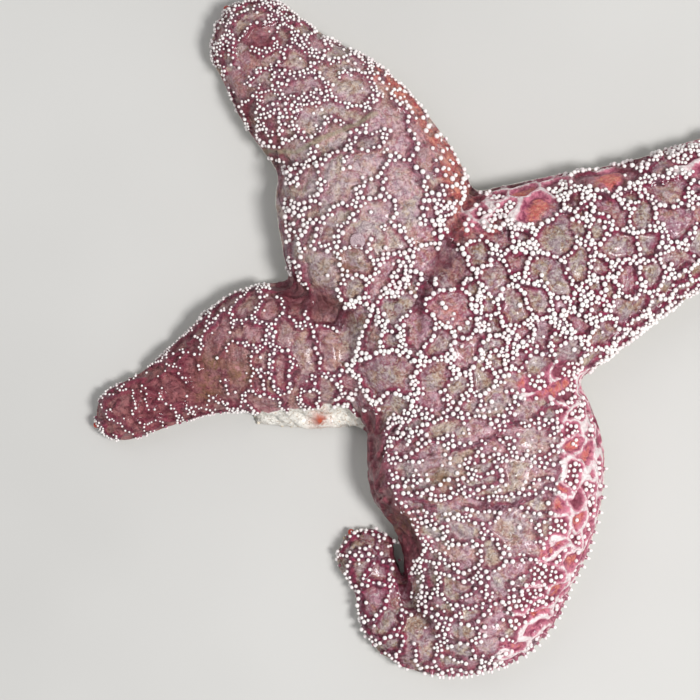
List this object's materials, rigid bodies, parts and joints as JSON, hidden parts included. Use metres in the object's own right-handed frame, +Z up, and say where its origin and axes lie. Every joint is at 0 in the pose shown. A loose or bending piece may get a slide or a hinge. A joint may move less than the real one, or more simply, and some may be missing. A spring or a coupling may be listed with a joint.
{
  "type": "starfish",
  "caption": "Still, life-size ochre sea star lying flat, its thick arms round a low central disc and one arm hooked back on itself, with a flat grooved sole.",
  "frame": {"origin": "middle of the bounding box at floor level", "axes": "+Z up through the back of the animal, +Y towards the north-west arm's end of the body, +X towards the east arm's tip"},
  "size_m": [0.249, 0.2234, 0.037],
  "materials": {
    "skin": "wet, semi-gloss",
    "madreporite": "satin, finely ridged",
    "mouth": "soft, moist",
    "eyespot": "glossy"
  },
  "bodies": {
    "root": {"disc": "skin", "arm_north_west_base": "skin", "arm_north_west_tip": "skin", "arm_east_base": "skin", "arm_east_middle": "skin", "arm_east_tip": "skin", "arm_south_base": "skin", "arm_south_bend": "skin", "arm_south_tip": "skin", "arm_west_base": "skin", "arm_west_tip": "skin", "madreporite": "madreporite", "mouth": "mouth", "eyespot_north_west": "eyespot", "eyespot_east": "eyespot", "eyespot_south": "eyespot", "eyespot_west": "eyespot"}
  },
  "joints": []
}
